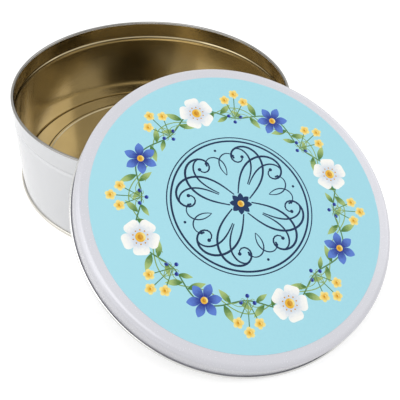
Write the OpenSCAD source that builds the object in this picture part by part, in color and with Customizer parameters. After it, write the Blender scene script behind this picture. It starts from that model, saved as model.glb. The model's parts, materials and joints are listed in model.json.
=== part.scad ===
// Round slip-lid tin for biscuits, open, with its lid leaning on the rim.
// Millimetres. +Z is up, the tin's axis is Z and the floor is z = 0.
// Every wall is drawn as the middle line of its sheet, then thickened and turned about Z.

/* [Tin] */
// Outside diameter of the body wall
tin_d = 206; // [160:1:300]
// Height of the open tin, from the floor to the top of its rim
tin_h = 74; // [50:1:110]
// Thickness of the tinplate
sheet = 0.4; // [0.3:0.05:0.5]
// Outside diameter of the roll at the rim
curl_d = 2.1; // [1.9:0.1:3]

/* [Bead] */
// How far the bead is pressed into the wall
bead_depth = 0.7; // [0.3:0.1:1]
// Bend radius of the bead, at the middle of the sheet
bead_bend_r = 2.1; // [1.2:0.1:3]

/* [Double seam] */
// Height of the seam that joins the base to the wall
seam_h = 3; // [2.8:0.1:4]
// Clearance between the folded layers of the seam
seam_gap = 0.08; // [0.05:0.01:0.12]
// Bend radius where the base turns from the seam into its floor
floor_bend_r = 1.2; // [0.8:0.1:2]
// Depth of the floor above the bottom of the seam, to the underside of the sheet
countersink = 3.4; // [3:0.1:5]
// Diameter of the stiffening ring pressed into the floor
ring_d = 172; // [80:1:180]
// Height of the stiffening ring
ring_h = 0.8; // [0.5:0.1:1.2]
// Bend radius of the stiffening ring
ring_bend_r = 2; // [1.2:0.1:3]

/* [Side seam] */
// Width of the folded side seam inside the wall
side_seam_w = 5; // [3:0.5:8]
// Clearance that the side seam keeps from the base and from the rolled rim
side_seam_clear = 1; // [0.5:0.1:3]

/* [Lid] */
// Depth of the lid, from its top face to the bottom of its hem
lid_depth = 17; // [13:0.5:22]
// Outside radius of the lid's shoulder
shoulder_r = 3.6; // [2:0.1:6]
// Outside diameter of the roll at the lid's hem
hem_d = 2.1; // [1.9:0.1:3]
// Clearance all round between the lid's skirt and the wall
lid_fit = 0.3; // [0.2:0.05:0.8]

/* [Print] */
// Diameter of the printed disc on the lid
print_d = 190; // [120:1:196]
// Thickness of the printed disc
print_t = 0.2; // [0.1:0.05:0.5]

/* [Leaning lid] */
// Clearance between the lid's panel and the front of the rim
rest_gap = 0.3; // [0.2:0.05:0.6]
// Clearance between the lid's hem and the rim where they cross, square to the lid
side_gap = 0.5; // [0.5:0.05:1.5]

/* [Hidden] */
$fn = 160;

// A roll stops this far round, so that its cut edge stays off the wall
roll_sweep = 295;
// The most that a flat may cut into a bend
bend_sag = 0.03;

// Middle of the sheet in the wall, and the pitch of the seam's layers
wall_r = (tin_d - sheet) / 2;
pitch = sheet + seam_gap;
seam_mid_r = wall_r + pitch;

// The seam's folds: the body's bottom bend, the base's top bend and its foot
body_bend_z = sheet + seam_gap + sheet / 2 + pitch;
top_bend_z = seam_h - sheet / 2 - pitch;
foot_bend_z = sheet / 2 + pitch;

// The rolled rim
rim_r = tin_d / 2 - curl_d / 2;
rim_z = tin_h - curl_d / 2;
curl_mid_r = (curl_d - sheet) / 2;

// The floor of the base, at the middle of its sheet
floor_z = countersink + sheet / 2;
floor_edge_r = wall_r - pitch - floor_bend_r;

// The lid's skirt and hem; depths count down from the lid's top face
skirt_r = tin_d / 2 + lid_fit + sheet / 2;
hem_mid_r = (hem_d - sheet) / 2;
hem_r = skirt_r + hem_mid_r;
hem_depth = lid_depth - hem_d / 2;
shoulder_mid_r = shoulder_r - sheet / 2;

// The closed lid lies on the rim, and the middle of its hem is level with the bead
bead_z = tin_h + sheet - hem_depth;

// The leaning lid stands on its hem, lies on the front of the rim and just clears the rim's sides
front_depth = sheet + rest_gap + curl_d / 2;
cross_depth = hem_depth + side_gap + (curl_d + hem_d) / 2;
lean = lean_angle(15, 70, 30);
lid_y = -rim_r - front_depth * sin(lean) - up_slope(lean) * cos(lean);
lid_z = rim_z + front_depth * cos(lean) - up_slope(lean) * sin(lean);

// How far the rim runs back from its front before the hem crosses it, at lean a
function set_back(a) = (cross_depth - front_depth) / sin(a);

// How far up the lid from its centre the front of the rim meets it, at lean a
function up_slope(a) =
    let (back = set_back(a))
    sqrt(pow(hem_r, 2) - 2 * rim_r * back + pow(back, 2)) - back * cos(a);

// Height at which a lid with its hem on the floor would carry the rim's roll, at lean a
function carried_z(a) =
    hem_d / 2 + (hem_depth - front_depth) * cos(a) + (hem_r + up_slope(a)) * sin(a);

// The lean at which that height is the rim's own, by halving the range n times
function lean_angle(low, high, n) =
    let (mid = (low + high) / 2)
    n == 0 ? mid
    : carried_z(mid) > rim_z ? lean_angle(low, mid, n - 1)
    : lean_angle(mid, high, n - 1);

function tail(v) = [for (i = [1:len(v) - 1]) v[i]];
function reversed(v) = [for (i = [len(v) - 1:-1:0]) v[i]];
function unit(v) = v / norm(v);
function left_of(v) = [-v.y, v.x];

// Points along a bend of radius r about c, from angle from to angle to
function bend(c, r, from, to) =
    let (steps = ceil(abs(to - from) / (2 * acos(1 - bend_sag / r))))
    [for (i = [0:steps]) let (a = from + (to - from) * i / steps) c + r * [cos(a), sin(a)]];

// How far a ridge of height h turns out and back in bends of radius r, and half its width
function ridge_angle(h, r) = acos(1 - h / (2 * r));
function ridge_half(h, r) = 2 * r * sin(ridge_angle(h, r));

// A ridge along x, centred on x = 0 and rising to y = h
function ridge(h, r) =
    let (a = ridge_angle(h, r), half = ridge_half(h, r))
    concat(
        bend([-half, r], r, -90, -90 + a),
        tail(bend([0, h - r], r, 90 + a, 90 - a)),
        tail(bend([half, r], r, -90 - a, -90))
    );

// The path moved d to its left, with its corners mitred
function beside(path, d) =
    let (last = len(path) - 1)
    [for (i = [0:last])
        let (before = left_of(unit(path[max(i, 1)] - path[max(i, 1) - 1])))
        let (after = left_of(unit(path[min(i, last - 1) + 1] - path[min(i, last - 1)])))
        path[i] + d * (before + after) / (1 + before * after)
    ];

// A wall of revolution whose sheet follows the path
module turned_sheet(path) {
    rotate_extrude()
        polygon(concat(beside(path, sheet / 2), reversed(beside(path, -sheet / 2))));
}

// Up the wall through the bead
function bead_path() = [for (p = ridge(bead_depth, bead_bend_r)) [wall_r - p.y, bead_z + p.x]];

// From the body hook, round the bottom bend, up the wall through the bead and into the rolled rim
function body_path() = concat(
    [[wall_r + 2 * pitch, top_bend_z]],
    bend([seam_mid_r, body_bend_z], pitch, 0, -180),
    bead_path(),
    bend([rim_r, rim_z], curl_mid_r, 0, roll_sweep)
);

// From the cover hook, over the body hook, round the foot, up the chuck wall and across the floor
function base_path() = concat(
    [[seam_mid_r, body_bend_z]],
    bend([wall_r + 2 * pitch, top_bend_z], pitch, 180, 0),
    bend([wall_r + 2 * pitch, foot_bend_z], pitch, 0, -90),
    bend([wall_r, foot_bend_z], pitch, -90, -180),
    bend([floor_edge_r, floor_z - floor_bend_r], floor_bend_r, 0, 90),
    [for (p = ridge(ring_h, ring_bend_r)) [ring_d / 2 - p.x, floor_z + p.y]],
    [[0, floor_z]]
);

// From the middle of the panel, over the shoulder, down the skirt and into the rolled hem
function lid_path() = concat(
    [[0, -sheet / 2]],
    bend([skirt_r - shoulder_mid_r, -shoulder_r], shoulder_mid_r, 90, 0),
    bend([hem_r, -hem_depth], hem_mid_r, 180, 180 + roll_sweep)
);

// Two more layers of sheet on the inside of the wall, where its ends fold into each other
module side_seam() {
    foot_z = floor_z + sheet / 2 + side_seam_clear;
    head_z = tin_h - curl_d - side_seam_clear;
    face_r = wall_r - max(5 / 2 * sheet, bead_depth + sheet / 2);
    sweep = side_seam_w / wall_r * 180 / PI;
    rotate([0, 0, -90 - sweep / 2])
        rotate_extrude(angle = sweep)
            polygon(concat(
                [[face_r, head_z], [face_r, foot_z], [wall_r, foot_z]],
                bead_path(),
                [[wall_r, head_z]]
            ));
}

module leaning() {
    translate([0, lid_y, lid_z])
        rotate([lean, 0, 0])
            children();
}

module body_wall() {
    color("gainsboro") {
        turned_sheet(body_path());
        side_seam();
    }
}

module base_panel() {
    color("darkgoldenrod")
        turned_sheet(base_path());
}

module lid_shell() {
    color("silver")
        leaning()
            turned_sheet(lid_path());
}

module print_disc() {
    color("#a8deea")
        leaning()
            cylinder(d = print_d, h = print_t);
}

body_wall();
base_panel();
lid_shell();
print_disc();
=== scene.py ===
"""Looks of a round slip-lid cookie tin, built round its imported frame.

Lengths are written in millimetres times MM, which makes them metres.
"""

import json
import math

import bmesh
import bpy
from bpy.props import FloatProperty, IntProperty, PointerProperty, StringProperty
from mathutils import Matrix, Vector
from mathutils.geometry import delaunay_2d_cdt


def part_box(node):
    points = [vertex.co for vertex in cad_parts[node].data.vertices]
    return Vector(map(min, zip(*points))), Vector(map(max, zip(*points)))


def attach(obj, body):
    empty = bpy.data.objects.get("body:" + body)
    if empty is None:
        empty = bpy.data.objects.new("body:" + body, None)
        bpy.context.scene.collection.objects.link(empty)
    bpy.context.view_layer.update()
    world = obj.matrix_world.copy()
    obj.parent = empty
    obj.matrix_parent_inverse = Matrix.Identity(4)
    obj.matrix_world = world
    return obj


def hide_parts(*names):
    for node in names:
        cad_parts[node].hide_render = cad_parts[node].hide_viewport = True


bl_info = {
    "name": "Cookie Tin",
    "version": (1, 0, 0),
    "blender": (4, 5, 0),
    "location": "3D View > Sidebar > Tin",
    "description": "Models a round slip-lid tin, its leaning lid and the print on it",
    "category": "Add Mesh",
}

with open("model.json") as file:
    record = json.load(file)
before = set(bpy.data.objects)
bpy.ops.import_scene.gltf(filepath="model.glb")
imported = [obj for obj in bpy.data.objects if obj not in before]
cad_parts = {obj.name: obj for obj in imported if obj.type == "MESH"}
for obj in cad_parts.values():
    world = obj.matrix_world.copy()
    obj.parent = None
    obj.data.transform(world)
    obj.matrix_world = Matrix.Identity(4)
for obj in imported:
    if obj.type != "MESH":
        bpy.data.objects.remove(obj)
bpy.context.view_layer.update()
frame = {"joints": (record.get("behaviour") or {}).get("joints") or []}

MM = 0.001

# The sheet is drawn as the middle line of its section, as (radius, height), and spun about Z
SEGMENTS = 256
# How far from a bend a flat is held flat
HOLD = 0.25 * MM
# Which finish of the wall is its inside coat, and which is the one on the rolled rim
GOLD, BARE_ROLL = 1, 2
# Where the hem's roll ends, in degrees
HEM_END = 455
# The side seam stops this far short of the floor and of the rim
SEAM_CLEAR = 1 * MM

# How the noise is stretched into the rolling grain, round the wall and across the base and lid
AROUND, ACROSS = (0.03, 0.03, 1.0), (0.03, 1.0, 1.0)
# The second tone of each coating, which its slow cloudiness goes to
ENAMEL_CLOUD, GOLD_CLOUD, LID_CLOUD = "#EAEBED", "#A69670", "#D2D2D8"

# The world lights the tin at the first level, and the camera, mirrors and glass see it at the
# second
WORLD_LIGHT, WORLD_SEEN = 0.64, 1.0
FLOOR_RADIUS, FLOOR_TONE = 3.0, 0.64
# What the floor is lifted by for the camera, mirrors and glass, near the tin and far from it
LIFT_NEAR, LIFT_FAR = 0.54, 1.0
LIFT_FROM, LIFT_TO = 0.4, 1.0
# Azimuth and elevation in degrees, distance and size in metres, and level of each lamp
LAMPS = {
    "left_softbox": (-95, 32, 1.5, 1.2, 0.2),
    "right_softbox": (85, 32, 1.5, 1.1, 0.18),
    "top_softbox": (-50, 64, 1.5, 1.1, 0.26),
}
LAMPS_AIM = Vector((0, -60 * MM, 50 * MM))


# ---------------------------------------------------------------- sizes and colours


class TinSizes(bpy.types.PropertyGroup):
    """Sizes of the tin's body, base and rim."""

    diameter: FloatProperty(
        name="Diameter", description="Outside diameter of the wall", default=206 * MM, unit="LENGTH"
    )
    height: FloatProperty(
        name="Height", description="Height of the open tin", default=74 * MM, unit="LENGTH"
    )
    sheet: FloatProperty(
        name="Sheet", description="Thickness of the tinplate", default=0.4 * MM, unit="LENGTH"
    )
    curl: FloatProperty(
        name="Curl",
        description="Outside diameter of the rolled rim and hem",
        default=2.1 * MM,
        unit="LENGTH",
    )
    bead_depth: FloatProperty(
        name="Bead depth",
        description="How far the bead is pressed in",
        default=0.7 * MM,
        unit="LENGTH",
    )
    bead_bend: FloatProperty(
        name="Bead bend", description="Bend radius of the bead", default=2.1 * MM, unit="LENGTH"
    )
    bead_level: FloatProperty(
        name="Bead level",
        description="Height of the bead's middle",
        default=58.45 * MM,
        unit="LENGTH",
    )
    seam_height: FloatProperty(
        name="Seam height", description="Height of the double seam", default=3 * MM, unit="LENGTH"
    )
    seam_gap: FloatProperty(
        name="Seam gap",
        description="Clearance between the seam's layers",
        default=0.08 * MM,
        unit="LENGTH",
    )
    floor_height: FloatProperty(
        name="Floor height",
        description="Height of the floor's middle line",
        default=3.6 * MM,
        unit="LENGTH",
    )
    floor_bend: FloatProperty(
        name="Floor bend",
        description="Bend radius at the floor's edge",
        default=1.2 * MM,
        unit="LENGTH",
    )
    ring_diameter: FloatProperty(
        name="Ring diameter",
        description="Diameter of the floor's ring",
        default=172 * MM,
        unit="LENGTH",
    )
    ring_height: FloatProperty(
        name="Ring height",
        description="Height of the floor's ring",
        default=0.8 * MM,
        unit="LENGTH",
    )
    ring_bend: FloatProperty(
        name="Ring bend",
        description="Bend radius of the floor's ring",
        default=2 * MM,
        unit="LENGTH",
    )
    side_seam: FloatProperty(
        name="Side seam", description="Width of the folded side seam", default=5 * MM, unit="LENGTH"
    )


class LidSizes(bpy.types.PropertyGroup):
    """Sizes of the lid and its print."""

    depth: FloatProperty(
        name="Depth", description="From the top face to the hem", default=17 * MM, unit="LENGTH"
    )
    shoulder: FloatProperty(
        name="Shoulder",
        description="Outside radius of the shoulder",
        default=3.6 * MM,
        unit="LENGTH",
    )
    fit: FloatProperty(
        name="Fit", description="Clearance between skirt and wall", default=0.3 * MM, unit="LENGTH"
    )
    print_diameter: FloatProperty(
        name="Print diameter",
        description="Diameter of the printed film",
        default=190 * MM,
        unit="LENGTH",
    )
    print_thickness: FloatProperty(
        name="Print thickness", description="Thickness of the film", default=0.2 * MM, unit="LENGTH"
    )
    repeats: IntProperty(
        name="Repeats",
        description="How often the garland's pattern repeats",
        default=8,
        min=3,
        max=16,
    )


class TinColours(bpy.types.PropertyGroup):
    """Colours of the coatings and inks, as sRGB hex."""

    enamel: StringProperty(
        name="Enamel", description="White coating of the wall", default="#E7E8EA"
    )
    lid: StringProperty(
        name="Lid", description="Silver-white lacquer of the lid", default="#D8D8DF"
    )
    gold: StringProperty(name="Gold", description="Food lacquer inside", default="#BFB08A")
    ground: StringProperty(name="Ground", description="The print's ground", default="#A8DEEA")
    navy: StringProperty(name="Navy", description="Ink of lines", default="#0C2747")


class StageSettings(bpy.types.PropertyGroup):
    """The camera."""

    azimuth: FloatProperty(
        name="Azimuth",
        description="Camera's angle round the tin",
        default=math.radians(-29.97),
        subtype="ANGLE",
    )
    elevation: FloatProperty(
        name="Elevation",
        description="Camera's angle above the floor",
        default=math.radians(41.22),
        subtype="ANGLE",
    )
    roll: FloatProperty(
        name="Roll",
        description="Camera's turn about its view",
        default=math.radians(3.0),
        subtype="ANGLE",
    )
    distance: FloatProperty(
        name="Distance",
        description="From the camera to its target",
        default=568.3 * MM,
        unit="LENGTH",
    )
    target_right: FloatProperty(
        name="Target right",
        description="Target's offset to the right",
        default=39.97 * MM,
        unit="LENGTH",
    )
    target_up: FloatProperty(
        name="Target height", description="Target's height", default=-37.85 * MM, unit="LENGTH"
    )
    lens: FloatProperty(name="Lens", description="Focal length in millimetres", default=59.72)


# ---------------------------------------------------------------- section paths


def bend(centre, radius, start, end):
    """Points along a bend about centre, from angle start to angle end, in degrees."""
    steps = max(2, math.ceil(abs(end - start) / 15))
    angles = [math.radians(start + (end - start) * i / steps) for i in range(steps + 1)]
    return [
        Vector((centre[0] + radius * math.cos(a), centre[1] + radius * math.sin(a))) for a in angles
    ]


def ridge(height, radius):
    """A ridge along x, centred on x = 0 and rising to y = height, made of three bends."""
    turn = math.acos(1 - height / (2 * radius))
    half, turn = 2 * radius * math.sin(turn), math.degrees(turn)
    return [
        *bend((-half, radius), radius, -90, -90 + turn),
        *bend((0, height - radius), radius, 90 + turn, 90 - turn)[1:],
        *bend((half, radius), radius, -90 - turn, -90)[1:],
    ]


def held(path):
    """The path with an extra point just inside each end of a long flat, so that flats shade
    flat."""
    points = [path[0]]
    for before, after in zip(path, path[1:]):
        step = after - before
        if step.length > 4 * HOLD:
            hold = step.normalized() * HOLD
            points += [before + hold, after - hold]
        points.append(after)
    return points


def bead_path(tin):
    """Up the wall through the bead."""
    wall = (tin.diameter - tin.sheet) / 2
    return [
        Vector((wall - p.y, tin.bead_level + p.x)) for p in ridge(tin.bead_depth, tin.bead_bend)
    ]


def body_path(tin):
    """From the body hook, round the bottom bend, up the wall through the bead and into the
    rolled rim."""
    wall, pitch = (tin.diameter - tin.sheet) / 2, tin.sheet + tin.seam_gap
    hook_top = tin.seam_height - tin.sheet / 2 - pitch
    bend_z = tin.sheet * 1.5 + tin.seam_gap + pitch
    rim = (tin.diameter - tin.curl) / 2, tin.height - tin.curl / 2
    return [
        Vector((wall + 2 * pitch, hook_top)),
        *bend((wall + pitch, bend_z), pitch, 0, -180),
        *bead_path(tin),
        *bend(rim, (tin.curl - tin.sheet) / 2, 0, 295),
    ]


def base_path(tin):
    """From the cover hook, over the body hook, round the foot, up the chuck wall and across the
    floor."""
    wall, pitch = (tin.diameter - tin.sheet) / 2, tin.sheet + tin.seam_gap
    hook_top = tin.seam_height - tin.sheet / 2 - pitch
    foot_z = tin.sheet / 2 + pitch
    edge = wall - pitch - tin.floor_bend
    ring = [
        Vector((tin.ring_diameter / 2 - p.x, tin.floor_height + p.y))
        for p in ridge(tin.ring_height, tin.ring_bend)
    ]
    return [
        Vector((wall + pitch, tin.sheet * 1.5 + tin.seam_gap + pitch)),
        *bend((wall + 2 * pitch, hook_top), pitch, 180, 0),
        *bend((wall + 2 * pitch, foot_z), pitch, 0, -90),
        *bend((wall, foot_z), pitch, -90, -180),
        *bend((edge, tin.floor_height - tin.floor_bend), tin.floor_bend, 0, 90),
        *ring,
        Vector((0, tin.floor_height)),
    ]


def lid_path(tin, lid):
    """From the middle of the panel, over the shoulder, down the skirt and into the rolled hem."""
    skirt = tin.diameter / 2 + lid.fit + tin.sheet / 2
    shoulder, hem = lid.shoulder - tin.sheet / 2, (tin.curl - tin.sheet) / 2
    return [
        Vector((0, -tin.sheet / 2)),
        *bend((skirt - shoulder, -lid.shoulder), shoulder, 90, 0),
        *bend((skirt + hem, tin.curl / 2 - lid.depth), hem, 180, HEM_END),
    ]


# ---------------------------------------------------------------- meshes and pieces


def add_piece(name, bm, body, materials, replaced=None):
    """Makes an object of the mesh, gives it its finishes and lets it ride on a body."""
    mesh = bpy.data.meshes.new(name)
    bm.to_mesh(mesh)
    bm.free()
    piece = bpy.data.objects.new(name, mesh)
    bpy.context.scene.collection.objects.link(piece)
    for material in materials:
        mesh.materials.append(material)
    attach(piece, body)
    if replaced:
        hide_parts(replaced)
    return piece


def spun_sheet(path, inside):
    """The middle surface of a sheet, spun from its path, with its faces turned away from the
    point inside."""
    bm = bmesh.new()
    verts = [bm.verts.new((p.x, 0, p.y)) for p in held(path)]
    edges = [bm.edges.new(pair) for pair in zip(verts, verts[1:])]
    bmesh.ops.spin(
        bm,
        geom=verts + edges,
        axis=(0, 0, 1),
        cent=(0, 0, 0),
        angle=math.tau,
        steps=SEGMENTS,
        use_merge=True,
    )
    bmesh.ops.remove_doubles(bm, verts=bm.verts, dist=0.001 * MM)
    bmesh.ops.recalc_face_normals(bm, faces=bm.faces)
    largest = max(bm.faces, key=lambda f: f.calc_area())
    if largest.normal.dot(largest.calc_center_median() - inside) < 0:
        bmesh.ops.reverse_faces(bm, faces=bm.faces)
    for face in bm.faces:
        face.smooth = True
    return bm


def folded_seam(tin):
    """The side seam inside the wall: the sheet's two hooked ends, pressed flat and following
    the bead."""
    wall = (tin.diameter - tin.sheet) / 2
    face = wall - 2.5 * tin.sheet
    foot, head = tin.floor_height + tin.sheet / 2 + SEAM_CLEAR, tin.height - tin.curl - SEAM_CLEAR
    section = [
        Vector((face, head)),
        Vector((face, foot)),
        Vector((wall, foot)),
        *bead_path(tin),
        Vector((wall, head)),
    ]
    bm = bmesh.new()
    start = bm.faces.new([bm.verts.new((p.x, 0, p.y)) for p in section])
    bmesh.ops.rotate(
        bm,
        verts=bm.verts,
        cent=(0, 0, 0),
        matrix=Matrix.Rotation(-math.pi / 2 - tin.side_seam / wall / 2, 3, "Z"),
    )
    bmesh.ops.spin(
        bm,
        geom=[start, *start.edges, *start.verts],
        axis=(0, 0, 1),
        cent=(0, 0, 0),
        angle=tin.side_seam / wall,
        steps=6,
        use_duplicate=False,
    )
    bmesh.ops.recalc_face_normals(bm, faces=bm.faces)
    long_edges = [
        e for e in bm.edges if abs(
            e.verts[0].co.z - e.verts[1].co.z
        ) > (head - foot) * 0.9 and len(e.link_faces) == 2 and e.calc_face_angle() > 1
    ]
    bmesh.ops.bevel(
        bm,
        geom=long_edges,
        offset=0.3 * MM,
        offset_type="OFFSET",
        segments=3,
        profile=0.5,
        affect="EDGES",
        material=-1,
    )
    return bm


def thicken(piece, sheet):
    """Gives the sheet its thickness: finish 0 on its outside, 1 on its inside and 2 on its cut
    edges."""
    solid = piece.modifiers.new("Sheet", "SOLIDIFY")
    solid.thickness = sheet
    solid.offset = 0
    solid.use_even_offset = True
    solid.material_offset = 1
    solid.material_offset_rim = 2


def lid_place():
    """Where the lid lies: its print's middle is the middle of that node's box, and its lean is
    the swing's range."""
    low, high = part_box("print_disc")
    lean = math.radians(frame["joints"][0]["range_deg"][1])
    normal = Vector((0, -math.sin(lean), math.cos(lean)))
    centre = (low + high) / 2 - normal * bpy.context.scene.lid_sizes.print_thickness / 2
    return Matrix.Translation(centre) @ Matrix.Rotation(lean, 4, "X")


# ---------------------------------------------------------------- materials


def linear(hex_colour):
    """An sRGB hex colour as linear RGBA."""
    parts = [int(hex_colour[i : i + 2], 16) / 255 for i in (1, 3, 5)]
    return (*[p / 12.92 if p <= 0.04045 else ((p + 0.055) / 1.055) ** 2.4 for p in parts], 1.0)


def add(tree, kind, settings, inputs):
    """Adds a node with its settings, and sets or links its inputs."""
    node = tree.nodes.new(kind)
    for name, value in settings.items():
        setattr(node, name, value)
    for name, value in inputs.items():
        if isinstance(value, bpy.types.NodeSocket):
            tree.links.new(value, node.inputs[name])
        else:
            node.inputs[name].default_value = value
    return node


def new_material(name):
    """An empty material with its node tree."""
    material = bpy.data.materials.new(name)
    material.use_nodes = True
    material.node_tree.nodes.clear()
    return material, material.node_tree


def per(size):
    """The noise scale at which one feature is about this long, in metres."""
    return 1 / size


def white_enamel(colours):
    """White enamel, roller coated and stoved: an even gloss with a slight orange peel."""
    material, tree = new_material("white_enamel_stoved")
    place = add(tree, "ShaderNodeTexCoord", {}, {})
    peel = add(
        tree,
        "ShaderNodeTexNoise",
        {},
        {"Vector": place.outputs["Object"], "Scale": per(2.2 * MM), "Detail": 2.0},
    )
    cloud = add(
        tree,
        "ShaderNodeTexNoise",
        {},
        {"Vector": place.outputs["Object"], "Scale": per(40 * MM), "Detail": 3.0},
    )
    tone = add(
        tree, "ShaderNodeMix", {"data_type": "RGBA"},
        {"Factor": cloud.outputs["Fac"], "A": linear(colours.enamel), "B": linear(ENAMEL_CLOUD)},
    )
    gloss = add(
        tree, "ShaderNodeMapRange", {},
        {
            "Value": cloud.outputs["Fac"],
            "From Min": 0.3,
            "From Max": 0.7,
            "To Min": 0.07,
            "To Max": 0.1,
        },
    )
    bump = add(
        tree, "ShaderNodeBump", {},
        {"Height": peel.outputs["Fac"], "Strength": 0.15, "Distance": 0.02 * MM},
    )
    shader = add(
        tree, "ShaderNodeBsdfPrincipled", {},
        {
            "Base Color": tone.outputs["Result"],
            "Roughness": gloss.outputs["Result"],
            "IOR": 1.5,
            "Normal": bump.outputs["Normal"],
        },
    )
    add(tree, "ShaderNodeOutputMaterial", {}, {"Surface": shader.outputs["BSDF"]})
    return material


def gold_lacquer(colours, name, stretch):
    """Gold phenolic food lacquer over rolled tinplate: a warm metal with the sheet's grain
    under a clear gloss."""
    material, tree = new_material(name)
    place = add(tree, "ShaderNodeTexCoord", {}, {})
    drawn = add(
        tree, "ShaderNodeMapping", {}, {"Vector": place.outputs["Object"], "Scale": stretch}
    )
    grain = add(
        tree,
        "ShaderNodeTexNoise",
        {},
        {"Vector": drawn.outputs["Vector"], "Scale": per(0.9 * MM), "Detail": 3.0},
    )
    cloud = add(
        tree,
        "ShaderNodeTexNoise",
        {},
        {"Vector": place.outputs["Object"], "Scale": per(30 * MM), "Detail": 3.0},
    )
    tone = add(
        tree, "ShaderNodeMix", {"data_type": "RGBA"},
        {"Factor": cloud.outputs["Fac"], "A": linear(colours.gold), "B": linear(GOLD_CLOUD)},
    )
    gloss = add(
        tree, "ShaderNodeMapRange", {},
        {
            "Value": grain.outputs["Fac"],
            "From Min": 0.3,
            "From Max": 0.7,
            "To Min": 0.15,
            "To Max": 0.18,
        },
    )
    bump = add(
        tree, "ShaderNodeBump", {},
        {"Height": grain.outputs["Fac"], "Strength": 0.02, "Distance": 0.02 * MM},
    )
    shader = add(
        tree, "ShaderNodeBsdfPrincipled", {},
        {
            "Base Color": tone.outputs["Result"],
            "Metallic": 1.0,
            "Roughness": gloss.outputs["Result"],
            "Coat Weight": 1.0,
            "Coat Roughness": 0.08,
            "Normal": bump.outputs["Normal"],
        },
    )
    add(tree, "ShaderNodeOutputMaterial", {}, {"Surface": shader.outputs["BSDF"]})
    return material


def bare_tinplate(name, stretch, dark="#CFCBC2", light="#DEDBD3"):
    """Bright tinplate, cold rolled and tinned: a pale grey metal with a fine grain."""
    material, tree = new_material(name)
    place = add(tree, "ShaderNodeTexCoord", {}, {})
    drawn = add(
        tree, "ShaderNodeMapping", {}, {"Vector": place.outputs["Object"], "Scale": stretch}
    )
    grain = add(
        tree,
        "ShaderNodeTexNoise",
        {},
        {"Vector": drawn.outputs["Vector"], "Scale": per(0.8 * MM), "Detail": 3.0},
    )
    tone = add(
        tree, "ShaderNodeMix", {"data_type": "RGBA"},
        {"Factor": grain.outputs["Fac"], "A": linear(dark), "B": linear(light)},
    )
    gloss = add(
        tree, "ShaderNodeMapRange", {},
        {
            "Value": grain.outputs["Fac"],
            "From Min": 0.3,
            "From Max": 0.7,
            "To Min": 0.12,
            "To Max": 0.18,
        },
    )
    shader = add(
        tree, "ShaderNodeBsdfPrincipled", {},
        {
            "Base Color": tone.outputs["Result"],
            "Metallic": 1.0,
            "Roughness": gloss.outputs["Result"],
        },
    )
    add(tree, "ShaderNodeOutputMaterial", {}, {"Surface": shader.outputs["BSDF"]})
    return material


def silver_lacquer(colours):
    """Silver-white lacquer over tinplate, stoved satin: fine flake under a soft gloss."""
    material, tree = new_material("silver_lacquer_satin")
    place = add(tree, "ShaderNodeTexCoord", {}, {})
    flake = add(
        tree,
        "ShaderNodeTexNoise",
        {},
        {"Vector": place.outputs["Object"], "Scale": per(0.7 * MM), "Detail": 2.0},
    )
    cloud = add(
        tree,
        "ShaderNodeTexNoise",
        {},
        {"Vector": place.outputs["Object"], "Scale": per(35 * MM), "Detail": 3.0},
    )
    tone = add(
        tree, "ShaderNodeMix", {"data_type": "RGBA"},
        {"Factor": cloud.outputs["Fac"], "A": linear(colours.lid), "B": linear(LID_CLOUD)},
    )
    gloss = add(
        tree, "ShaderNodeMapRange", {},
        {
            "Value": flake.outputs["Fac"],
            "From Min": 0.3,
            "From Max": 0.7,
            "To Min": 0.22,
            "To Max": 0.28,
        },
    )
    bump = add(
        tree, "ShaderNodeBump", {},
        {"Height": flake.outputs["Fac"], "Strength": 0.06, "Distance": 0.01 * MM},
    )
    shader = add(
        tree, "ShaderNodeBsdfPrincipled", {},
        {
            "Base Color": tone.outputs["Result"],
            "Metallic": 0.15,
            "Roughness": gloss.outputs["Result"],
            "IOR": 1.5,
            "Normal": bump.outputs["Normal"],
        },
    )
    add(tree, "ShaderNodeOutputMaterial", {}, {"Surface": shader.outputs["BSDF"]})
    return material


def film_ink(name, near, far, start=0.3, end=1.0):
    """Offset ink under a clear satin film, shaded from its root to its tip along the shape's
    own map."""
    material, tree = new_material(name)
    along = add(tree, "ShaderNodeUVMap", {"uv_map": "along"}, {})
    split = add(tree, "ShaderNodeSeparateXYZ", {}, {"Vector": along.outputs["UV"]})
    place = add(tree, "ShaderNodeTexCoord", {}, {})
    grain = add(
        tree,
        "ShaderNodeTexNoise",
        {},
        {"Vector": place.outputs["Object"], "Scale": per(1.5 * MM), "Detail": 3.0},
    )
    blend = add(
        tree, "ShaderNodeMath", {"operation": "MULTIPLY_ADD"},
        {0: grain.outputs["Fac"], 1: 0.35, 2: split.outputs["X"]},
    )
    place_on = add(
        tree, "ShaderNodeMapRange", {"interpolation_type": "SMOOTHSTEP"},
        {"Value": blend.outputs["Value"], "From Min": start, "From Max": end},
    )
    tone = add(
        tree, "ShaderNodeMix", {"data_type": "RGBA"},
        {"Factor": place_on.outputs["Result"], "A": linear(near), "B": linear(far)},
    )
    shader = add(
        tree, "ShaderNodeBsdfPrincipled", {},
        {
            "Base Color": tone.outputs["Result"],
            "Roughness": 0.5,
            "IOR": 1.49,
            "Specular IOR Level": 0.25,
        },
    )
    add(tree, "ShaderNodeOutputMaterial", {}, {"Surface": shader.outputs["BSDF"]})
    return material


# ---------------------------------------------------------------- the print


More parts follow.
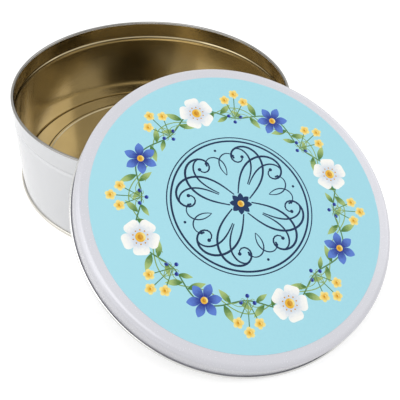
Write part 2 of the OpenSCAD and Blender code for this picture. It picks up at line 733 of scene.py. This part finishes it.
class Drawing:
    """Shapes on the film, drawn later ones over earlier ones. Each keeps its ink and its own
    map."""

    def __init__(self):
        self.shapes = []

    def fill(self, ink, outline, origin=Vector((0, 0)), turn=0.0, length=1.0, width=1.0):
        spun = Matrix.Rotation(turn, 2)
        points = [origin + spun @ Vector(p) for p in outline]
        if sum(a.cross(b) for a, b in zip(points, points[1:] + points[:1])) < 0:
            points.reverse()
        self.shapes.append((ink, points, origin, turn, length, width))

    def line(self, ink, points, width, swell=0.0):
        """A line along the points, thinner by the share swell at its ends than in its middle."""
        last = len(points) - 1
        sides = []
        for i, point in enumerate(points):
            step = points[min(i + 1, last)] - points[max(i - 1, 0)]
            reach = width / 2 * (1 - swell * (2 * i / last - 1) ** 2)
            across = Vector((-step.y, step.x)).normalized() * reach
            sides.append((point + across, point - across))
        for (a, b), (c, d) in zip(sides, sides[1:]):
            self.fill(ink, [b, d, c, a])

    def ring(self, ink, radius, width):
        """A circle of even width, in four quarters."""
        for quarter in range(4):
            self.line(ink, arc(Vector((0, 0)), radius, quarter * 90, quarter * 90 + 90), width)


def arc(centre, radius, start, end):
    """Points along an arc, in degrees, a few to each degree of a large one."""
    steps = max(math.ceil(abs(end - start) / 24), math.ceil(abs(end - start) * radius / (60 * MM)))
    angles = [math.radians(start + (end - start) * i / steps) for i in range(steps + 1)]
    return [centre + Vector((math.cos(a), math.sin(a))) * radius for a in angles]


def polar(radius, degrees):
    """The point at this distance and angle from the middle of the print."""
    return Vector((math.cos(math.radians(degrees)), math.sin(math.radians(degrees)))) * radius


def petal(width, fullness, roundness, notch=0.0, points=12):
    """The outline of a petal one unit long, from the origin along +X."""
    edge = []
    for i in range(points + 1):
        u = i / points
        dip = notch * max(0, (u - 0.8) / 0.2) ** 2
        edge.append(
            Vector(
                (
                    u - dip,
                    width / 2 * math.sin(math.pi * u**fullness) ** roundness if 0 < u < 1 else 0,
                )
            )
        )
    return edge + [Vector((p.x, -p.y)) for p in edge[-2:0:-1]]


def flourish(start, heading, length, turns, steps=36):
    """Points along a pen stroke: its turn in degrees per millimetre goes evenly from each of
    turns to the next."""
    points, angle = [start], math.radians(heading)
    for i in range(steps):
        place = (i + 0.5) / steps * (len(turns) - 1)
        k = int(place)
        rate = turns[k] + (turns[k + 1] - turns[k]) * (place - k)
        angle += math.radians(rate) * length / MM / steps / 2
        points.append(points[-1] + Vector((math.cos(angle), math.sin(angle))) * length / steps)
        angle += math.radians(rate) * length / MM / steps / 2
    return points


GROUND, NAVY, LEAF, WHITE, BLUE, YELLOW, OCHRE, STEM, SPRIG = range(9)
EVEN = (0.1, 0.3)

BROAD = petal(0.78, 1.6, 0.6, notch=0.12)
POINTED = petal(0.52, 1.3, 0.85)
ROUND = petal(0.8, 1.4, 0.55)
ALMOND = petal(0.36, 0.9, 1.0)


def dot(drawing, ink, centre, radius):
    """A filled circle."""
    drawing.fill(ink, arc(Vector((0, 0)), radius, 0, 360)[:-1], centre, 0, radius, radius)


def blossom(drawing, centre, turn, size, ink, count, outline, eye):
    """A flat blossom: petals round a yellow eye."""
    for i in range(count):
        angle = turn + math.tau * i / count
        drawing.fill(ink, [p * size for p in outline], centre, angle, size, size)
    dot(drawing, YELLOW, centre, eye)
    dot(drawing, OCHRE, centre, eye * 0.55)


def scrollwork(drawing):
    """Pen scrolls in the middle, mirrored about four axes, with a small rosette between them."""
    for i in range(8):
        spun = Matrix.Rotation(math.tau * (i // 2) / 4, 2)
        side = 1 if i % 2 else -1
        for start, heading, length, turns, width in (
            ((7, 1.4), 29, 73, (0.0, 2.2, 4.0, 6.8, 19.8), 1.5),
            ((11, 10.3), 43, 39, (0.0, -2.6, -6.1, -20.0), 1.2),
            ((21, 0.0), -28, 26, (3.0, 6.0, 9.0, 16.0), 0.9),
        ):
            points = flourish(Vector(start) * MM, heading, length * MM, turns)
            drawing.line(NAVY, [spun @ Vector((p.x, side * p.y)) for p in points], width * MM, 0.45)
            end = points[-1]
            dot(drawing, NAVY, spun @ Vector((end.x, side * end.y)), width * 0.8 * MM)
        dot(drawing, NAVY, spun @ Vector((39.5 * MM, 0)), 0.9 * MM)
    blossom(drawing, Vector((0, 0)), math.tau / 16, 7.5 * MM, NAVY, 8, POINTED, 2.2 * MM)


def garland(drawing, repeats):
    """A garland of two entwined stems, with leaves, sprigs and blossoms."""
    unit = 360 / repeats
    middle, swing = 67 * MM, 4 * MM

    def stem(turn, side=1):
        return polar(middle + side * swing * math.cos(math.radians(repeats * turn)), turn)

    for side, ink, width in ((-1, SPRIG, 0.7 * MM), (1, STEM, 0.9 * MM)):
        drawing.line(
            ink, [stem(360 * k / (repeats * 24), side) for k in range(repeats * 24 + 1)], width
        )
    for i in range(repeats):
        base = unit * i
        for share, side, angle, size in (
            (0.22, 1, 40, 12),
            (0.30, -1, 130, 11),
            (0.40, 1, 60, 9),
            (0.60, 1, 120, 9),
            (0.70, -1, 50, 11),
            (0.78, 1, 140, 12),
        ):
            at = base + unit * share
            drawing.fill(
                LEAF,
                [p * size * MM for p in ALMOND],
                stem(at),
                math.radians(at + side * angle),
                size * MM,
                size * MM,
            )
        root = stem(base + unit / 2)
        for turn, reach in ((-26, 15), (0, 19), (26, 15)):
            tip = root + polar(reach * MM, base + unit / 2 + turn)
            drawing.line(STEM, [root.lerp(tip, k / 4) for k in range(5)], 0.6 * MM)
            blossom(drawing, tip, math.radians(base + turn), 3.6 * MM, YELLOW, 5, ROUND, 1.2 * MM)
        inner = stem(base + unit / 2, -1)
        for turn, reach in ((-32, 8), (0, 11), (32, 8)):
            tip = inner - polar(reach * MM, base + unit / 2 + turn)
            drawing.line(SPRIG, [inner.lerp(tip, k / 4) for k in range(5)], 0.5 * MM)
            dot(drawing, BLUE, tip, 1.3 * MM)
        for share, heading, turns in (
            (0.30, 70, (0, 14, 40)), (0.70, -70, (0, -14, -40)), (0.42, -60, (0, -12, -44))
        ):
            at = base + unit * share
            drawing.line(SPRIG, flourish(stem(at), at + heading, 15 * MM, turns, 20), 0.5 * MM, 0.4)
    for i in range(repeats):
        centre = polar(middle + swing / 2, unit * i)
        if i % 2:
            blossom(drawing, centre, math.radians(unit * i), 11 * MM, BLUE, 6, POINTED, 2.2 * MM)
        else:
            blossom(drawing, centre, math.radians(unit * i), 13 * MM, WHITE, 5, BROAD, 3.2 * MM)
            for k in range(10):
                dot(drawing, OCHRE, centre + polar(4.6 * MM, 36 * k), 0.5 * MM)


def draw_print(lid):
    """The print: a folk garland round a double ring with pen scrolls in it."""
    drawing = Drawing()
    drawing.fill(GROUND, arc(Vector((0, 0)), lid.print_diameter / 2, 0, 360)[:-1])
    drawing.ring(NAVY, 47.6 * MM, 0.8 * MM)
    drawing.ring(NAVY, 45 * MM, 1.3 * MM)
    scrollwork(drawing)
    garland(drawing, lid.repeats)
    return drawing.shapes


def printed_film(lid):
    """The film: its top is cut along every shape, and its edge and back are drawn out from its
    rim."""

    def covers(outline, at):
        """Whether the outline has the point at inside it, by counting its edges to the right of
        the point."""
        odd = False
        for a, b in zip(outline, outline[1:] + outline[:1]):
            if (a.y > at.y) == (b.y > at.y):
                continue
            if at.x < a.x + (b.x - a.x) * (at.y - a.y) / (b.y - a.y):
                odd = not odd
        return odd

    shapes = draw_print(lid)
    points, faces = [], []
    for _, outline, *_ in shapes:
        faces.append(range(len(points), len(points) + len(outline)))
        points += outline
    made = delaunay_2d_cdt(points, [], [list(f) for f in faces], 1, 0.002 * MM)
    bm = bmesh.new()
    verts = [bm.verts.new((p.x, p.y, lid.print_thickness)) for p in made[0]]
    along = bm.loops.layers.uv.new("along")
    for corners, sources in zip(made[2], made[5]):
        middle = sum((made[0][i] for i in corners), Vector((0, 0))) / len(corners)
        top = next(
            i for i in sorted(sources, reverse=True) if i == 0 or covers(shapes[i][1], middle)
        )
        ink, _, origin, turn, length, width = shapes[top]
        face = bm.faces.new([verts[i] for i in corners])
        face.material_index = ink
        back = Matrix.Rotation(-turn, 2)
        for loop in face.loops:
            local = back @ (loop.vert.co.xy - origin)
            loop[along].uv = (local.x / length, local.y / width)
    rim = [e for e in bm.edges if e.is_boundary]
    sides = bmesh.ops.extrude_edge_only(bm, edges=rim)["geom"]
    lower = [v for v in sides if isinstance(v, bmesh.types.BMVert)]
    bmesh.ops.translate(bm, verts=lower, vec=(0, 0, -lid.print_thickness))
    bmesh.ops.contextual_create(bm, geom=[e for e in bm.edges if e.is_boundary])
    bmesh.ops.recalc_face_normals(bm, faces=bm.faces)
    return bm


# ---------------------------------------------------------------- operators


class TIN_OT_body(bpy.types.Operator):
    """Models the tin's wall, with its rolled rim, bead, seam hook and side seam"""

    bl_idname = "tin.body"
    bl_label = "Body wall"

    def execute(self, context):
        tin, colours = context.scene.tin_sizes, context.scene.tin_colours
        inside = Vector((0, 0, tin.height / 2))
        coats = [
            white_enamel(colours),
            gold_lacquer(colours, "gold_lacquer_wall", AROUND),
            # The rolled rim takes a darker grey than the rest of the tinplate, all the way round
            bare_tinplate("bare_tinplate_roll", AROUND, "#86847F", "#9A9894"),
            bare_tinplate("bare_tinplate_edge", AROUND),
        ]
        bm = spun_sheet(body_path(tin), inside)
        for face in bm.faces:
            if face.calc_center_median().z > tin.height - tin.curl / 2:
                face.material_index = BARE_ROLL
        wall = add_piece("body_wall_sheet", bm, "tin", coats, "body_wall")
        thicken(wall, tin.sheet)
        add_piece("side_seam_fold", folded_seam(tin), "tin", [coats[GOLD]])
        return {"FINISHED"}


class TIN_OT_base(bpy.types.Operator):
    """Models the tin's base, with its double seam and stiffening ring"""

    bl_idname = "tin.base"
    bl_label = "Base panel"

    def execute(self, context):
        tin, colours = context.scene.tin_sizes, context.scene.tin_colours
        inside = Vector((0, 0, tin.height / 2))
        coats = [
            bare_tinplate("bare_tinplate_base", ACROSS),
            gold_lacquer(colours, "gold_lacquer_base", ACROSS),
            bare_tinplate("bare_tinplate_base_edge", ACROSS),
        ]
        base = add_piece(
            "base_panel_sheet",
            spun_sheet(base_path(tin), inside),
            "tin",
            coats,
            "base_panel",
        )
        thicken(base, tin.sheet)
        return {"FINISHED"}


class TIN_OT_lid(bpy.types.Operator):
    """Models the drawn lid, leaning as the frame has it"""

    bl_idname = "tin.lid"
    bl_label = "Lid"

    def execute(self, context):
        tin, lid = context.scene.tin_sizes, context.scene.lid_sizes
        colours = context.scene.tin_colours
        inside = Vector((0, 0, -lid.depth / 2))
        coats = [
            silver_lacquer(colours),
            bare_tinplate("clear_lacquered_tinplate_lid", ACROSS, "#CDCDCB", "#DCDCDA"),
            bare_tinplate("bare_tinplate_lid_edge", ACROSS),
        ]
        bm = spun_sheet(lid_path(tin, lid), inside)
        bm.transform(lid_place())
        shell = add_piece("lid_sheet", bm, "lid", coats, "lid_shell")
        thicken(shell, tin.sheet)
        return {"FINISHED"}


class TIN_OT_print(bpy.types.Operator):
    """Models the printed film on the lid"""

    bl_idname = "tin.print"
    bl_label = "Printed film"

    def execute(self, context):
        lid, colours = context.scene.lid_sizes, context.scene.tin_colours
        inks = [
            film_ink("ink_sky_ground", colours.ground, "#A4DBE8", *EVEN),
            film_ink("ink_navy", colours.navy, "#12315A", *EVEN),
            film_ink("ink_leaf_green", "#4E7A3C", "#A9C27A"),
            film_ink("ink_white_petal", "#C9D6E6", "#FBFAF4"),
            film_ink("ink_blue_petal", "#1F2F86", "#5C7FD0"),
            film_ink("ink_yellow_petal", "#E9B63A", "#F7E491"),
            film_ink("ink_ochre", "#C98A1E", "#D9A03A", *EVEN),
            film_ink("ink_stem_green", "#4F7A4A", "#628B57", *EVEN),
            film_ink("ink_sprig_green", "#86A45E", "#97B26E", *EVEN),
        ]
        bm = printed_film(lid)
        bm.transform(lid_place())
        add_piece("print_film", bm, "lid", inks, "print_disc")
        return {"FINISHED"}


class TIN_OT_stage(bpy.types.Operator):
    """Sets the floor, the light and the camera"""

    bl_idname = "tin.stage"
    bl_label = "Stage"

    def execute(self, context):
        settings = context.scene.tin_stage
        floor()
        light()
        camera(settings)
        context.scene.view_settings.view_transform = "Standard"
        return {"FINISHED"}


def shown_rays(tree):
    """1 for what the camera, a mirror or glass sees, and 0 for light that falls on the tin."""
    path = add(tree, "ShaderNodeLightPath", {}, {})
    seen = path.outputs["Is Camera Ray"]
    for name in ("Is Glossy Ray", "Is Transmission Ray"):
        seen = add(
            tree, "ShaderNodeMath", {"operation": "MAXIMUM"}, {0: seen, 1: path.outputs[name]}
        ).outputs["Value"]
    return seen


def floor():
    """A plain pale board, which keeps the tin's shadow."""
    bm = bmesh.new()
    bmesh.ops.create_circle(bm, cap_ends=True, segments=96, radius=FLOOR_RADIUS)
    mesh = bpy.data.meshes.new("floor")
    bm.to_mesh(mesh)
    bm.free()
    ground = bpy.data.objects.new("floor", mesh)
    bpy.context.scene.collection.objects.link(ground)
    material, tree = new_material("floor_board")
    seen = shown_rays(tree)
    place = add(tree, "ShaderNodeTexCoord", {}, {})
    away = add(tree, "ShaderNodeVectorMath", {"operation": "LENGTH"}, {0: place.outputs["Object"]})
    viewed = add(
        tree, "ShaderNodeMapRange", {"interpolation_type": "SMOOTHSTEP"},
        {
            "Value": away.outputs["Value"],
            "From Min": LIFT_FROM,
            "From Max": LIFT_TO,
            "To Min": LIFT_NEAR,
            "To Max": LIFT_FAR,
        },
    )
    lift = add(
        tree, "ShaderNodeMath", {"operation": "MULTIPLY"}, {0: seen, 1: viewed.outputs["Result"]}
    )
    board = add(
        tree, "ShaderNodeBsdfDiffuse", {}, {"Color": (FLOOR_TONE, FLOOR_TONE, FLOOR_TONE, 1)}
    )
    glow = add(
        tree, "ShaderNodeEmission", {}, {"Color": (1, 1, 1, 1), "Strength": lift.outputs["Value"]}
    )
    both = add(
        tree, "ShaderNodeAddShader", {}, {0: board.outputs["BSDF"], 1: glow.outputs["Emission"]}
    )
    add(tree, "ShaderNodeOutputMaterial", {}, {"Surface": both.outputs["Shader"]})
    mesh.materials.append(material)


def direction(azimuth, elevation):
    """From the tin towards a place at this azimuth and elevation, in radians."""
    return Vector(
        (
            math.sin(azimuth) * math.cos(elevation),
            -math.cos(azimuth) * math.cos(elevation),
            math.sin(elevation),
        )
    )


def softbox(name, azimuth, elevation, distance, size, level):
    """A square lamp that lights a surface facing it to about this level.

    At a level of 1 a colour shows as it is written.
    """
    lamp = bpy.data.lights.new(name, "AREA")
    lamp.shape = "SQUARE"
    lamp.size = size
    lamp.energy = level * math.pi**2 * distance**2
    box = bpy.data.objects.new(name, lamp)
    bpy.context.scene.collection.objects.link(box)
    away = direction(math.radians(azimuth), math.radians(elevation))
    box.location = LAMPS_AIM + away * distance
    box.rotation_mode = "QUATERNION"
    box.rotation_quaternion = away.to_track_quat("Z", "Y")


def light():
    """An even white world and three soft lamps."""
    world = bpy.data.worlds.new("studio")
    bpy.context.scene.world = world
    world.use_nodes = True
    tree = world.node_tree
    tree.nodes.clear()
    seen = shown_rays(tree)
    level = add(
        tree,
        "ShaderNodeMix",
        {"data_type": "FLOAT"},
        {"Factor": seen, "A": WORLD_LIGHT, "B": WORLD_SEEN},
    )
    glow = add(
        tree,
        "ShaderNodeBackground",
        {},
        {"Color": (1, 1, 1, 1), "Strength": level.outputs["Result"]},
    )
    add(tree, "ShaderNodeOutputWorld", {}, {"Surface": glow.outputs["Background"]})
    for name, placed in LAMPS.items():
        softbox(name, *placed)


def camera(settings):
    """A camera that looks at its target from the set angle and distance."""
    lens = bpy.data.cameras.new("camera")
    lens.lens = settings.lens
    lens.sensor_width = 36
    eye = bpy.data.objects.new("camera", lens)
    bpy.context.scene.collection.objects.link(eye)
    right = Vector((math.cos(settings.azimuth), math.sin(settings.azimuth), 0))
    target = right * settings.target_right + Vector((0, 0, settings.target_up))
    back = direction(settings.azimuth, settings.elevation)
    eye.location = target + back * settings.distance
    eye.rotation_mode = "QUATERNION"
    turn = Matrix.Rotation(settings.roll, 3, "Z").to_quaternion()
    eye.rotation_quaternion = back.to_track_quat("Z", "Y") @ turn
    lens.clip_start = 0.01
    lens.clip_end = 20
    bpy.context.scene.camera = eye


class TIN_PT_panel(bpy.types.Panel):
    """The sidebar's list of the tin's pieces"""

    bl_idname = "TIN_PT_panel"
    bl_label = "Cookie tin"
    bl_space_type = "VIEW_3D"
    bl_region_type = "UI"
    bl_category = "Tin"

    def draw(self, context):
        for operator in OPERATORS:
            self.layout.operator(operator.bl_idname)
        for name in GROUPS:
            group = getattr(context.scene, name)
            box = self.layout.box()
            for key in group.__annotations__:
                box.prop(group, key)


OPERATORS = (TIN_OT_stage, TIN_OT_body, TIN_OT_base, TIN_OT_lid, TIN_OT_print)
GROUPS = {
    "tin_sizes": TinSizes,
    "lid_sizes": LidSizes,
    "tin_colours": TinColours,
    "tin_stage": StageSettings,
}


def register():
    for kind in (*GROUPS.values(), *OPERATORS, TIN_PT_panel):
        bpy.utils.register_class(kind)
    for name, kind in GROUPS.items():
        setattr(bpy.types.Scene, name, PointerProperty(type=kind))


def unregister():
    for name in GROUPS:
        delattr(bpy.types.Scene, name)
    for kind in reversed((*GROUPS.values(), *OPERATORS, TIN_PT_panel)):
        bpy.utils.unregister_class(kind)


def main():
    register()
    bpy.ops.tin.stage()
    bpy.ops.tin.body()
    bpy.ops.tin.base()
    bpy.ops.tin.lid()
    bpy.ops.tin.print()


if __name__ == "__main__":
    main()
